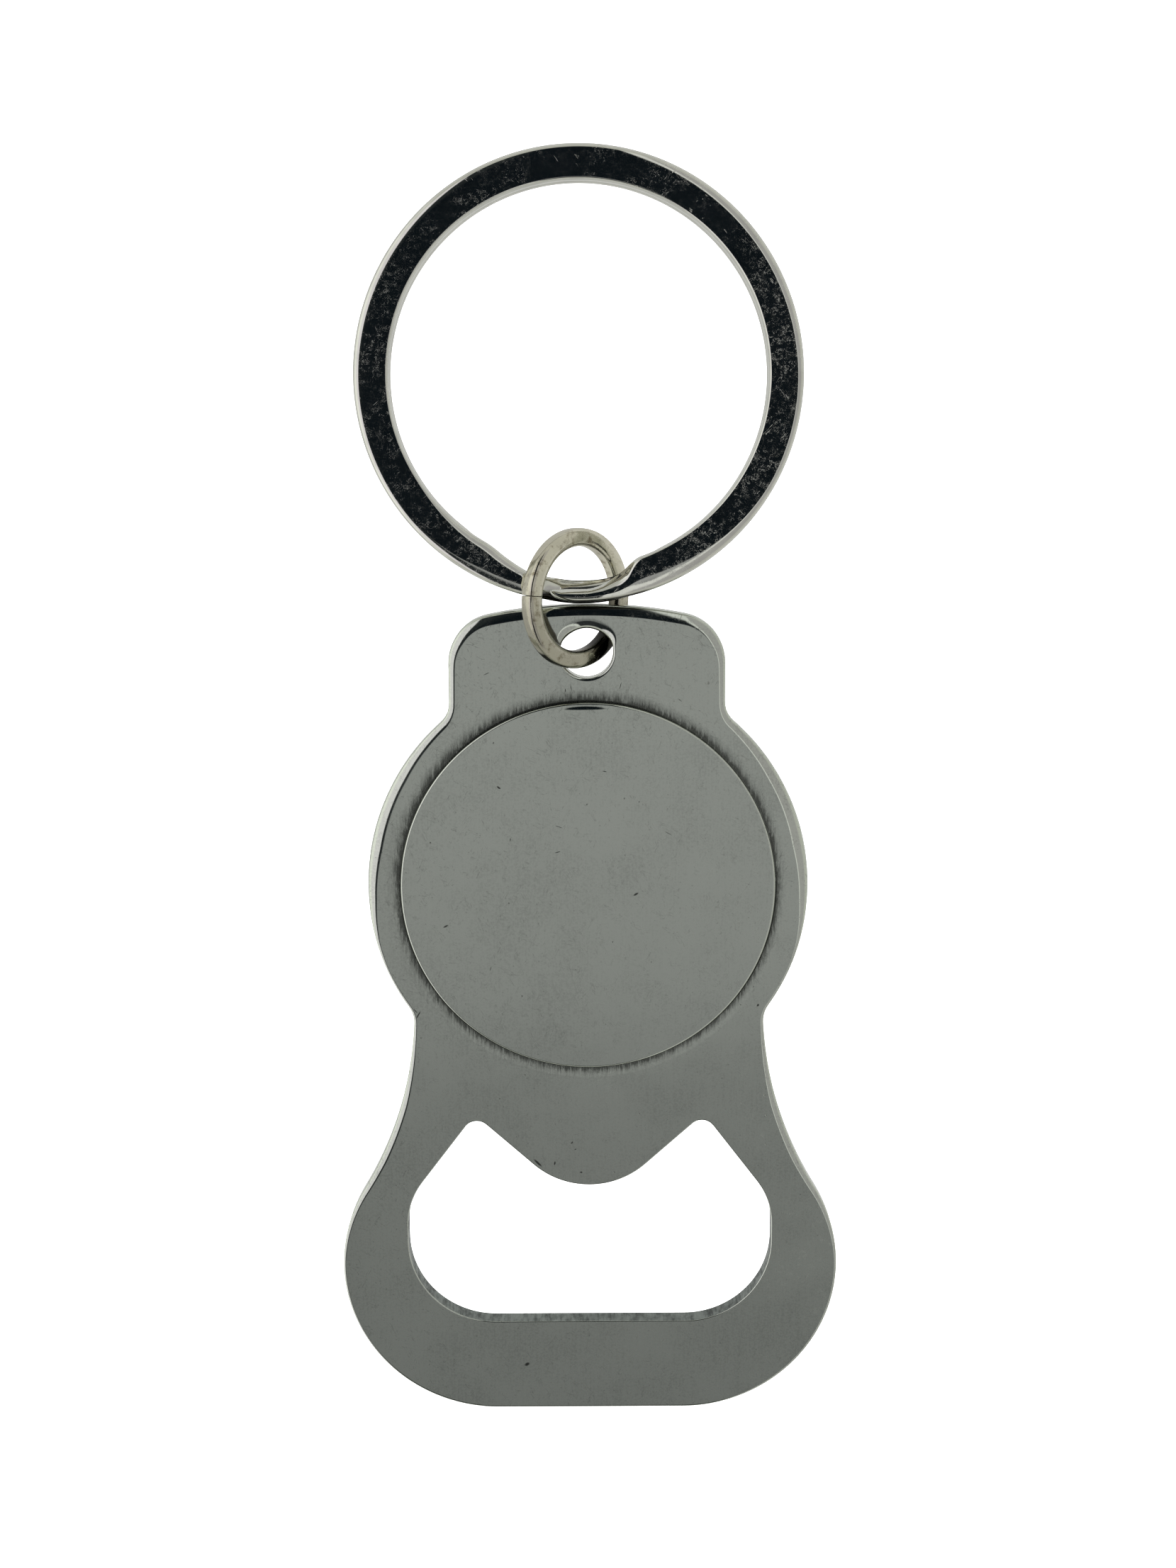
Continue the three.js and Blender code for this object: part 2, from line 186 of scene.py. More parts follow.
# Dents and scratches as (x, y, length, width, turn).
PLATE_MARKS = [
    (-4.65, -36.0, 0.5, 0.3, 30), (-3.72, -20.42, 1.0, 0.22, 135), (-2.5, -20.45, 0.4, 0.14, 80),
    (-0.6, -21.15, 0.24, 0.15, 0), (-1.25, -18.9, 0.28, 0.12, 60), (-1.0, -19.4, 0.2, 0.08, 20),
    (2.3, 14.2, 0.7, 0.06, 75), (-1.1, 14.1, 0.6, 0.06, 100), (-1.5, 13.9, 0.35, 0.08, 80),
    (-12.1, -9.3, 0.8, 0.09, 60), (-12.3, -9.0, 0.45, 0.08, 130), (12.0, -8.7, 0.3, 0.2, 40),
    (-6.9, 15.1, 0.5, 0.05, 25), (6.4, 13.2, 0.4, 0.06, -40),
]
DISC_MARKS = [
    (-6.15, 7.2, 0.42, 0.14, -35), (-10.0, -2.7, 0.5, 0.14, 28), (3.35, -0.45, 0.5, 0.18, 30),
    (-5.4, 3.5, 0.3, 0.08, 80), (-2.1, 2.6, 0.5, 0.06, 15), (5.6, 3.9, 0.7, 0.05, -30),
    (-6.9, -5.8, 0.4, 0.06, 70), (1.2, 8.3, 0.35, 0.06, -12), (-2.0, 4.4, 0.6, 0.05, -20),
]

# ---- camera: straight over the key ring, tipped towards the plate ---------
PHOTO_SIZE = (1659, 2212)
CAMERA_FOCAL_PX = 2940
CAMERA_TILT = 10.85
CAMERA_DISTANCE = 144.8
CAMERA_TARGET = (0, 7.34, 1.5)
CAMERA_ROLL = 0.3
SENSOR_WIDTH = 36


def deg(angle):
    return math.radians(angle)


def smooth(t):
    t = np.clip(t, 0, 1)
    return t * t * (3 - 2 * t)


def angle_of(from_x, from_y, to_x, to_y):
    return math.degrees(math.atan2(to_y - from_y, to_x - from_x))


# ---- outlines ------------------------------------------------------------
# A station is (x, y, direction out of the metal). bulge is 1 where metal is
# inside the arc and -1 where the arc is a hollow in the metal.
def arc(cx, cy, radius, start, end, bulge, step=OUTLINE_STEP):
    steps = max(2, math.ceil(abs(deg(end - start)) * radius / step))
    stations = []
    for i in range(steps + 1):
        a = deg(start + (end - start) * i / steps)
        c, s = math.cos(a), math.sin(a)
        stations.append((cx + radius * c, cy + radius * s, bulge * c, bulge * s))
    return stations


def fill_gaps(stations):
    """Adds points along the straight runs, so spacing stays even."""
    even = []
    for here, there in zip(stations, stations[1:] + stations[:1]):
        gap = math.dist(here[:2], there[:2])
        parts = max(1, math.ceil(gap / STRAIGHT_STEP))
        for k in range(parts):
            even.append(tuple(a + (b - a) * k / parts for a, b in zip(here, there)))
    return even


def mirrored(half):
    """Closes a right-hand half outline with its mirror image."""
    left = [(-x, y, -ox, oy) for x, y, ox, oy in reversed(half)]
    loop = []
    for p in half + left:
        if not loop or math.dist(p[:2], loop[-1][:2]) > SAME_POINT:
            loop.append(p)
    if math.dist(loop[0][:2], loop[-1][:2]) < SAME_POINT:
        loop.pop()
    return fill_gaps(loop)


def plate_outline():
    crown_y = TAB_TOP_Y - TAB_CROWN_RADIUS
    corner_x = TAB_HALF_WIDTH - TAB_CORNER_RADIUS
    crown_to_corner = TAB_CROWN_RADIUS - TAB_CORNER_RADIUS
    corner_y = crown_y + math.sqrt(crown_to_corner ** 2 - corner_x ** 2)
    corner_angle = angle_of(0, crown_y, corner_x, corner_y)

    root_x = TAB_HALF_WIDTH + TAB_ROOT_RADIUS
    root_y = math.sqrt((ROUND_RADIUS + TAB_ROOT_RADIUS) ** 2 - root_x ** 2)
    root_angle = angle_of(0, 0, root_x, root_y)

    head_x = HEAD_HALF_WIDTH - HEAD_CORNER_RADIUS
    head_y = HEAD_END_Y + HEAD_CORNER_RADIUS
    reach = HEAD_CORNER_RADIUS + FLANK_RADIUS
    flank_x = head_x + reach * math.cos(deg(FLANK_MEETS_CORNER))
    flank_y = head_y + reach * math.sin(deg(FLANK_MEETS_CORNER))

    # The neck fillet touches the round part from outside and lies inside the
    # flank's circle, so its centre is where two offset circles cross.
    to_round, to_flank = ROUND_RADIUS + NECK_RADIUS, FLANK_RADIUS - NECK_RADIUS
    apart = math.hypot(flank_x, flank_y)
    along = (to_round ** 2 - to_flank ** 2 + apart ** 2) / (2 * apart)
    aside = math.sqrt(to_round ** 2 - along ** 2)
    neck_x = (flank_x * along + flank_y * aside) / apart
    neck_y = (flank_y * along - flank_x * aside) / apart
    neck_angle = angle_of(0, 0, neck_x, neck_y)
    flank_start = angle_of(flank_x, flank_y, neck_x, neck_y) + 360

    return mirrored(
        arc(0, crown_y, TAB_CROWN_RADIUS, 90, corner_angle, 1)
        + arc(corner_x, corner_y, TAB_CORNER_RADIUS, corner_angle, 0, 1)
        + arc(root_x, root_y, TAB_ROOT_RADIUS, 180, 180 + root_angle, -1)
        + arc(0, 0, ROUND_RADIUS, root_angle, neck_angle, 1)
        + arc(neck_x, neck_y, NECK_RADIUS, 180 + neck_angle, flank_start, -1)
        + arc(flank_x, flank_y, FLANK_RADIUS, flank_start, 180 + FLANK_MEETS_CORNER, -1)
        + arc(head_x, head_y, HEAD_CORNER_RADIUS, FLANK_MEETS_CORNER, -90, 1)
    )


def opening_outline():
    tongue_y = TONGUE_TIP_Y + TONGUE_RADIUS
    slope = deg(TONGUE_SLOPE)
    lobe_y = LOBE_TOP_Y - LOBE_RADIUS
    side_x = (TONGUE_RADIUS + LOBE_RADIUS) * math.sin(slope)
    side_y = tongue_y - (TONGUE_RADIUS + LOBE_RADIUS) * math.cos(slope)
    lobe_x = side_x + (lobe_y - side_y) / math.tan(slope)

    facing = deg(90 - SHOULDER_SLOPE)
    shoulder_x = OPENING_HALF_WIDTH - SHOULDER_RADIUS
    start_x = lobe_x + LOBE_RADIUS * math.cos(facing)
    start_y = lobe_y + LOBE_RADIUS * math.sin(facing)
    touch_x = shoulder_x + SHOULDER_RADIUS * math.cos(facing)
    touch_y = start_y - (touch_x - start_x) * math.tan(deg(SHOULDER_SLOPE))
    shoulder_y = touch_y - SHOULDER_RADIUS * math.sin(facing)

    corner_x = OPENING_HALF_WIDTH - OPENING_CORNER_RADIUS
    corner_y = OPENING_END_Y + OPENING_CORNER_RADIUS
    return mirrored(
        arc(0, tongue_y, TONGUE_RADIUS, -90, TONGUE_SLOPE - 90, 1)
        + arc(lobe_x, lobe_y, LOBE_RADIUS, TONGUE_SLOPE + 90, 90 - SHOULDER_SLOPE, -1, LOBE_STEP)
        + arc(shoulder_x, shoulder_y, SHOULDER_RADIUS, 90 - SHOULDER_SLOPE, 0, -1)
        + arc(corner_x, corner_y, OPENING_CORNER_RADIUS, 0, -90, -1)
    )


def circle_outline(cy, radius, count, bulge):
    turns = [2 * math.pi * i / count for i in range(count)]
    return [(radius * math.cos(a), cy + radius * math.sin(a),
             bulge * math.cos(a), bulge * math.sin(a)) for a in turns]


def front_rounding(y):
    heights, radii = zip(*FRONT_ROUNDING)
    return float(np.interp(y, heights, radii))


# ---- mesh building ---------------------------------------------------------
class Shell:
    """Points, faces, one normal for each face corner, and material slots."""

    def __init__(self):
        self.points, self.faces, self.corners, self.slots = [], [], [], []

    def ring(self, places):
        start = len(self.points)
        self.points += [tuple(p) for p in places]
        return list(range(start, start + len(places)))

    def add(self, face, normals, slot=0):
        self.faces.append(face)
        self.corners += normals
        self.slots.append(slot)

    def strip(self, upper, lower, upper_normals, lower_normals, flip=False, slot=0):
        """Closed band of quads between two equal rings."""
        count = len(upper)
        for i in range(count):
            j = (i + 1) % count
            face = [upper[i], lower[i], lower[j], upper[j]]
            normals = [upper_normals[i], lower_normals[i], lower_normals[j], upper_normals[j]]
            if flip:
                face.reverse()
                normals.reverse()
            self.add(face, normals, slot)

    def flat(self, outer, holes, up):
        """Flat face between one ring and any rings inside it. Of the triangles
        that fill the outline, it keeps those whose middle is in the metal."""
        rings = [outer, *holes]
        ids = [i for r in rings for i in r]
        plan = np.array([self.points[i][:2] for i in ids])
        edges, start = [], 0
        for r in rings:
            edges += [(start + i, start + (i + 1) % len(r)) for i in range(len(r))]
            start += len(r)
        _, _, triangles, source, _, _ = delaunay_2d_cdt(
            [Vector(p) for p in plan], edges, [], 0, 1e-9)
        corners = np.array([[source[k][0] for k in t] for t in triangles])
        middle = plan[corners].mean(axis=1)
        ax, ay = plan[[e[0] for e in edges]].T
        bx, by = plan[[e[1] for e in edges]].T
        px, py = middle[:, :1], middle[:, 1:]
        spans = (ay > py) != (by > py)
        with np.errstate(divide="ignore", invalid="ignore"):
            crossing = px < (bx - ax) * (py - ay) / (by - ay) + ax
        inside = (spans & crossing).sum(axis=1) % 2 == 1
        for a, b, c in corners[inside]:
            p, q, r = plan[a], plan[b], plan[c]
            turn = (q[0] - p[0]) * (r[1] - p[1]) - (q[1] - p[1]) * (r[0] - p[0])
            face = [ids[a], ids[b], ids[c]] if (turn > 0) == up else [ids[a], ids[c], ids[b]]
            self.add(face, [(0, 0, 1 if up else -1)] * 3)

    def end(self, ring, normal, flip):
        """Flat end of a wire."""
        self.add(ring[::-1] if flip else ring, [normal] * len(ring))

    def build(self, name, materials, body, node):
        """Makes the piece, in metres, and says what it rides on and replaces."""
        mesh = bpy.data.meshes.new(name)
        mesh.from_pydata([Vector(p) * MM for p in self.points], [], self.faces)
        mesh.polygons.foreach_set("use_smooth", [True] * len(self.faces))
        mesh.polygons.foreach_set("material_index", self.slots)
        for material in materials:
            mesh.materials.append(material)
        mesh.update()
        normals = np.array(self.corners, float)
        normals /= np.linalg.norm(normals, axis=1, keepdims=True)
        mesh.normals_split_custom_set(normals.tolist())
        piece = bpy.data.objects.new(name, mesh)
        bpy.context.scene.collection.objects.link(piece)
        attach(piece, body)
        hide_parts(node)


def buffed_profile(steps):
    """Edge worn by a buffing wheel, as (turn, inset, drop) for a width of 1: a
    long shallow lead-in to 28 degrees, then a tighter turn down to the side."""
    turns = np.radians(np.linspace(0, 90, 181))
    radius = 1 + BUFF_LEAD_IN * (1 - smooth((np.degrees(turns) - 28) / 8))
    across, down = (np.concatenate([[0], np.cumsum(np.diff(turns) * (radius * way(turns))[1:])])
                    for way in (np.cos, np.sin))
    picks = np.interp(np.linspace(0, 1, steps + 1), np.arange(181) / 180, turns)
    return [(t, 1 - np.interp(t, turns, across) / across[-1],
             np.interp(t, turns, down) / across[-1]) for t in picks]


def rounded_side(shell, outline, front_radius, back_radius, steps, flip, wall_slot=0):
    """Side of the plate along one outline, rounded into both faces. Returns
    the rings that the front and back faces start from. The straight wall
    between the two roundings gets its own material slot."""
    rings, normals = [], []
    for turn, inset, drop in buffed_profile(steps):
        ring, ring_normals = [], []
        for x, y, ox, oy in outline:
            r = front_radius(y)
            ring.append((x - ox * r * inset, y - oy * r * inset, PLATE_THICK - r * drop))
            ring_normals.append((ox * math.sin(turn), oy * math.sin(turn), math.cos(turn)))
        rings.append(shell.ring(ring))
        normals.append(ring_normals)
    for k in range(steps, -1, -1):
        turn = deg(90 * k / steps)
        inset = back_radius * (1 - math.sin(turn))
        z = back_radius * (1 - math.cos(turn))
        rings.append(shell.ring([(x - ox * inset, y - oy * inset, z)
                                 for x, y, ox, oy in outline]))
        normals.append([(ox * math.sin(turn), oy * math.sin(turn), -math.cos(turn))
                        for x, y, ox, oy in outline])
    for k in range(1, len(rings)):
        slot = wall_slot if k == steps + 1 else 0
        shell.strip(rings[k - 1], rings[k], normals[k - 1], normals[k], flip, slot)
    return rings[0], rings[-1]


def hole_share(y, rise):
    """How much of its full amount a change at the hole's top has reached."""
    start, length = rise
    return float(smooth((y - HOLE_Y - start) / length))


def hole_rounding(y):
    """Front rounding of the hanging hole: worn wide at its top."""
    worn = hole_share(y, HOLE_WEAR_RISE)
    return HOLE_ROUNDING + (HOLE_TOP_WEAR + HOLE_TOP_ROLL) * worn


def hole_outline():
    """The hanging hole, with the worn metal of its top rolled into it."""
    return [(x, y - HOLE_TOP_ROLL * hole_share(y, HOLE_ROLL_RISE), ox, oy)
            for x, y, ox, oy in circle_outline(HOLE_Y, HOLE_RADIUS, HOLE_SEGMENTS, -1)]


def build_body(materials):
    shell = Shell()
    front, back = rounded_side(
        shell, plate_outline(), front_rounding, BACK_ROUNDING, BUFFED_STEPS, True)
    opening_front, opening_back = rounded_side(
        shell, opening_outline(), lambda y: PUNCHED_ROUNDING, PUNCHED_ROUNDING,
        PUNCHED_STEPS, False, 1)
    hole_front, hole_back = rounded_side(
        shell, hole_outline(), hole_rounding, HOLE_ROUNDING, BUFFED_STEPS, True)

    # Dip round the disc, then the wall and floor of the disc's seat.
    profile = []
    for k in range(SHADOW_RING_STEPS + 1):
        share = k / SHADOW_RING_STEPS
        r = SEAT_RADIUS + SHADOW_RING_WIDTH * (1 - share)
        drop = SHADOW_RING_DIP * (3 * share ** 2 - 2 * share ** 3)
        slope = SHADOW_RING_DIP * 6 * share * (1 - share) / SHADOW_RING_WIDTH
        profile.append((r, PLATE_THICK - drop, slope))
    rings, normals = [], []
    for r, z, slope in profile:
        circle = circle_outline(0, r, DISC_SEGMENTS, 1)
        rings.append(shell.ring([(x, y, z) for x, y, ox, oy in circle]))
        normals.append([(-ox * slope, -oy * slope, 1) for x, y, ox, oy in circle])
    for k in range(1, len(rings)):
        shell.strip(rings[k - 1], rings[k], normals[k - 1], normals[k], True)
    wall = [(-ox, -oy, 0) for _, _, ox, oy in circle]
    floor = shell.ring([(x, y, PLATE_THICK - SEAT_DEPTH) for x, y, _, _ in circle])
    shell.strip(rings[-1], floor, wall, wall, True)
    shell.flat(floor, [], True)
    shell.flat(front, [opening_front, hole_front, rings[0]], True)
    shell.flat(back, [opening_back, hole_back], False)
    shell.build("plate_body", materials, "opener", "opener_body")


def disc_height(x, y):
    """Height of the disc's face over its flat: 0 but for a small pressed spot
    near the rim on the tab side."""
    across = (x - DISC_SPOT_AT[0]) / DISC_SPOT_SIZE[0]
    along = (y - DISC_SPOT_AT[1] + DISC_SPOT_BOW * x * x) / DISC_SPOT_SIZE[1]
    return -DISC_SPOT_DEPTH * math.exp(-across ** 2 - along ** 2)


def build_disc(material):
    shell = Shell()
    bottom = PLATE_THICK - SEAT_DEPTH + PAD_THICK
    top = bottom + EMBLEM_THICK
    # Rings of points lie closer together by the rim, where the spot is.
    flat_radius = EMBLEM_RADIUS - EMBLEM_ROUNDING
    radii = [2, 4, 6, 8, 10, 11, 11.6] + [11.8 + 0.06 * k for k in range(20)]
    small = 0.01
    radii = [r for r in radii if r < flat_radius - small] + [flat_radius]
    centre = shell.ring([(0, 0, top)])
    last = None
    for r in radii:
        places = [(x, y, top + disc_height(x, y))
                  for x, y, _, _ in circle_outline(0, r, DISC_SEGMENTS, 1)]
        here = shell.ring(places)
        slopes = [((disc_height(x - small, y) - disc_height(x + small, y)) / (2 * small),
                   (disc_height(x, y - small) - disc_height(x, y + small)) / (2 * small), 1)
                  for x, y, _ in places]
        if last is None:
            for i in range(DISC_SEGMENTS):
                j = (i + 1) % DISC_SEGMENTS
                shell.add([centre[0], here[i], here[j]], [(0, 0, 1), slopes[i], slopes[j]])
        else:
            shell.strip(last[0], here, last[1], slopes)
        last = (here, slopes)
    # The rounded rim, the side, and a bevel at its foot.
    outward = [(ox, oy) for _, _, ox, oy in circle_outline(0, 1, DISC_SEGMENTS, 1)]
    for k in range(1, 7):
        turn = deg(15 * k)
        r = EMBLEM_RADIUS - EMBLEM_ROUNDING * (1 - math.sin(turn))
        z = top - EMBLEM_ROUNDING * (1 - math.cos(turn))
        here = shell.ring([(r * ox, r * oy, z) for ox, oy in outward])
        slopes = [(ox * math.sin(turn), oy * math.sin(turn), math.cos(turn))
                  for ox, oy in outward]
        shell.strip(last[0], here, last[1], slopes)
        last = (here, slopes)
    foot = shell.ring([(EMBLEM_RADIUS * ox, EMBLEM_RADIUS * oy, bottom + DISC_FOOT_BEVEL)
                       for ox, oy in outward])
    side = [(ox, oy, 0) for ox, oy in outward]
    shell.strip(last[0], foot, side, side)
    under_radius = EMBLEM_RADIUS - DISC_FOOT_BEVEL
    under = shell.ring([(under_radius * ox, under_radius * oy, bottom) for ox, oy in outward])
    bevel = [(ox, oy, -1) for ox, oy in outward]
    shell.strip(foot, under, bevel, bevel)
    shell.flat(under, [], False)
    shell.build("emblem_plate", [material], "opener", "emblem_disc")


def superellipse(width, height, count, squareness):
    """Wire section between a round one and a square one."""
    section = []
    for i in range(count):
        a = 2 * math.pi * (i + 0.5) / count
        c, s = math.cos(a), math.sin(a)
        section.append((math.copysign(abs(c) ** squareness, c) * width / 2,
                        math.copysign(abs(s) ** squareness, s) * height / 2))
    return np.array(section)


def flat_wire(width, height, outer, inner, depth):
    """Rectangular wire section with round corners and a few points on each
    flat. outer and inner are how far the rounding reaches into the flats."""
    corner_steps, flat_steps = 8, 4
    section = []
    corners = [(1, 1, 0), (-1, 1, 90), (-1, -1, 180), (1, -1, 270)]
    for sx, sy, start in corners:
        reach = outer if sx > 0 else inner
        cx, cy = sx * (width / 2 - reach), sy * (height / 2 - depth)
        for k in range(corner_steps + 1):
            a = deg(start + 90 * k / corner_steps)
            section.append((cx + reach * math.cos(a), cy + depth * math.sin(a)))
    filled = []
    for i, (a, b) in enumerate(zip(section, section[1:] + section[:1])):
        parts = flat_steps if i % (corner_steps + 1) == corner_steps else 1
        filled += [(a[0] + (b[0] - a[0]) * k / parts, a[1] + (b[1] - a[1]) * k / parts)
                   for k in range(parts)]
    return np.array(filled)


def swept(grid, material, name, body, node, end_rounding):
    """Wire from a grid of points, steps by section, with softened ends."""
    def shrunk(ring, inward, share):
        middle = ring.mean(axis=0)
        return middle + (ring - middle) * share + inward

    along_start = grid[1].mean(axis=0) - grid[0].mean(axis=0)
    along_end = grid[-2].mean(axis=0) - grid[-1].mean(axis=0)
    along_start /= np.linalg.norm(along_start)
    along_end /= np.linalg.norm(along_end)
    size = np.linalg.norm(grid[0] - grid[0].mean(axis=0), axis=1).mean()
    # Each end shrinks in three steps, by the turn of its rounding in degrees.
    caps = []
    for turn in (30, 60, 80):
        share = 1 - end_rounding / size * (1 - math.cos(deg(turn)))
        caps.append((share, -end_rounding * math.sin(deg(turn)) + end_rounding))
    head = [shrunk(grid[0], along_start * back, share) for share, back in reversed(caps)]
    tail = [shrunk(grid[-1], along_end * back, share) for share, back in caps]
    first = np.array([shrunk(grid[0], along_start * end_rounding, 1)])
    final = np.array([shrunk(grid[-1], along_end * end_rounding, 1)])
    full = np.concatenate([np.array(head), first, grid[1:-1], final, np.array(tail)])

    lengthwise = np.gradient(full, axis=0)
    around = np.roll(full, -1, axis=1) - np.roll(full, 1, axis=1)
    normals = np.cross(around, lengthwise)
    middle = full.mean(axis=1, keepdims=True)
    if np.sum(normals * (full - middle)) < 0:
        normals = -normals
    normals[0] = -along_start
    normals[-1] = -along_end

    shell = Shell()
    rings = [shell.ring(r) for r in full.tolist()]
    lists = normals.tolist()
    outward = np.cross(full[1, 0] - full[0, 0], full[0, 1] - full[0, 0])
    flip = np.dot(outward, normals[2, 0]) < 0
    for k in range(1, len(rings)):
        shell.strip(rings[k - 1], rings[k], lists[k - 1], lists[k], bool(flip))
    shell.end(rings[0], tuple(-along_start), not flip)
    shell.end(rings[-1], tuple(-along_end), bool(flip))
    shell.build(name, [material], body, node)


def build_jump_ring(material):
    middle = JUMP_OUTER_RADIUS - JUMP_WIRE_RADIAL / 2
    section = superellipse(
        JUMP_WIRE_RADIAL, JUMP_WIRE_AXIAL, JUMP_SECTION_POINTS, JUMP_SQUARENESS)
    seam_half = math.degrees(JUMP_SEAM / 2 / middle)
    wound = np.linspace(0, 1, JUMP_RINGS) * (360 - 2 * seam_half)
    angles = np.radians(JUMP_SEAM_AT - seam_half - wound)
    radius = middle + section[:, 0]
    grid = np.empty((JUMP_RINGS, JUMP_SECTION_POINTS, 3))
    grid[:, :, 0] = np.cos(angles)[:, None] * radius
    grid[:, :, 1] = np.sin(angles)[:, None] * radius
    grid[:, :, 2] = section[:, 1]
    turn = np.array(Matrix.Rotation(deg(JUMP_TWIST), 3, "Y"))
    grid = grid @ turn.T + np.array(JUMP_CENTRE)
    swept(grid, material, "jump_ring_wire", "jump_ring", "jump_ring",
          JUMP_END_ROUNDING)


def from_angle(wound, angle):
    """Degrees between places along the split ring's wire and one angle."""
    return abs((SPLIT_LOW_END - wound - angle + 180) % 360 - 180)


def build_split_ring(material):
    """wound is a column of degrees along the wire from the lower end, out and
    up are rows of its section, and everything else is worked out from them."""
    middle = SPLIT_OUTER_RADIUS - SPLIT_WIRE_RADIAL / 2
    drawn = flat_wire(SPLIT_WIRE_RADIAL, SPLIT_WIRE_AXIAL, *SPLIT_CORNERS)
    rubbed = flat_wire(SPLIT_WIRE_RADIAL, SPLIT_WIRE_AXIAL, *SPLIT_CORNERS_RUBBED)
    level = (SPLIT_WIRE_AXIAL + SPLIT_COIL_GAP) / 2
    total = 720 + SPLIT_LOW_END - SPLIT_TOP_END
    bend_start = 360 + SPLIT_LOW_END - SPLIT_BEND_FROM
    bend_end = 360 + SPLIT_LOW_END - SPLIT_BEND_TO
    # Rings of points lie closer together round the step and the ground end.
    coarse = np.linspace(0, total, 720)
    step_from, step_to = SPLIT_STEP_SPAN
    fine = np.concatenate([np.linspace(step_from, step_to, 260),
                           np.linspace(SPLIT_GROUND_FROM, total, 200)])
    apart = 0.2
    busy = (((coarse > step_from - apart) & (coarse < step_to + apart))
            | (coarse > SPLIT_GROUND_FROM - apart))
    wound = np.unique(np.concatenate([coarse[~busy], fine]))[:, None]
    # Rubbed near the link, and a little on the far side's outer edge.
    from_link = from_angle(wound, SPLIT_OUTER_RUBBED_AT)
    outer_wear = np.maximum(smooth((58 - from_link) / 45),
                            SPLIT_FAR_RUB * smooth((from_link - 60) / 90))
    inner_wear = smooth((45 - from_angle(wound, SPLIT_INNER_RUBBED_AT)) / 45)
    wear = np.where(drawn[None, :, 0] > 0, outer_wear, inner_wear)
    out, up = (drawn[None, :, k] + (rubbed - drawn)[None, :, k] * wear for k in (0, 1))
    # share is how much of the wire's width is left, and it ends in a point.
    places, shares = zip(*SPLIT_WIDTHS)
    share = sum(np.interp(wound + slip, places, shares) for slip in (-2, -1, 0, 1, 2)) / 5
    tip = np.sqrt(1 - np.clip(1 - (total - wound) / SPLIT_TIP_LENGTH, 0, 0.97) ** 2)
    share = share * tip
    up = up * (0.5 + 0.5 * tip)
    half = SPLIT_WIRE_RADIAL / 2
    # The upper end is ground away at a slope, so its inside leans outwards.
    ground = smooth((wound - SPLIT_SLOPE_FROM) / 6) * smooth((total - wound) / 3)
    facet = SPLIT_TIP_FACET + SPLIT_SLANT_FACET * smooth(1 - abs(wound - SPLIT_SLANT_AT) / 8)
    sloped = facet * ground * smooth(0.5 - out / half) * (up / SPLIT_WIRE_AXIAL + 0.5)
    bulge = SPLIT_BULGE * smooth((17 - abs(wound - SPLIT_BULGE_AT)) / 15)
    radius = middle + half - (half - out) * share + sloped + bulge - SPLIT_TIP_INWARD * (1 - tip)
    height = -level * np.cos(math.pi * smooth((wound - bend_start) / (bend_end - bend_start)))
    neck_from, neck_to = SPLIT_NECK_SPAN
    neck = smooth((wound - neck_from) / 10) * smooth((neck_to - wound) / 8)
    inside, above = 0.5 - out / 2 / half, smooth(up / SPLIT_WIRE_AXIAL + 0.5)
    height = height - SPLIT_NECK_BEVEL * neck * inside * above
    angles = np.radians(SPLIT_LOW_END - wound)
    grid = np.stack([np.cos(angles) * radius, np.sin(angles) * radius, height + up], axis=2)
    turn = np.array(Matrix.Rotation(deg(-SPLIT_LEAN), 3, "X"))
    grid = grid @ turn.T + np.array(SPLIT_CENTRE)
    swept(grid, material, "split_ring_wire", "split_ring", "split_ring",
          SPLIT_END_ROUNDING)


# ---- materials ---------------------------------------------------------------
NICKEL_PLATE = (0.598, 0.63, 0.565)
NICKEL_DISC = (0.602, 0.634, 0.57)
WARM_WIRE = (0.67, 0.645, 0.53)
BRIGHT_WIRE = (0.67, 0.675, 0.62)
BLACK = (0, 0, 0)
WIRE_TARNISH = (0.2, 0.16, 0.09)
# Painted shade and painted dark reflections for the wires, not colours of the metal.
WIRE_PAINTED_LOW_SHADE = (0.12, 0.115, 0.09)
WIRE_PAINTED_DARK_EDGE = (0.09, 0.085, 0.06)
WIRE_PAINTED_INNER_SHADE = (0.035, 0.03, 0.02)
WIRE_PAINTED_SHADE = (0.02, 0.019, 0.016)
SHEARED_DARK = (0.02, 0.024, 0.023)
SHEARED_LIGHT = (0.22, 0.245, 0.23)
FILM_CLOUDY = (0.78, 0.76, 0.68)
FILM_CLEAR = (0.9, 0.88, 0.82)
LEVEL = (1, 1, 0)             # times a place, leaves its place in the plate's plane


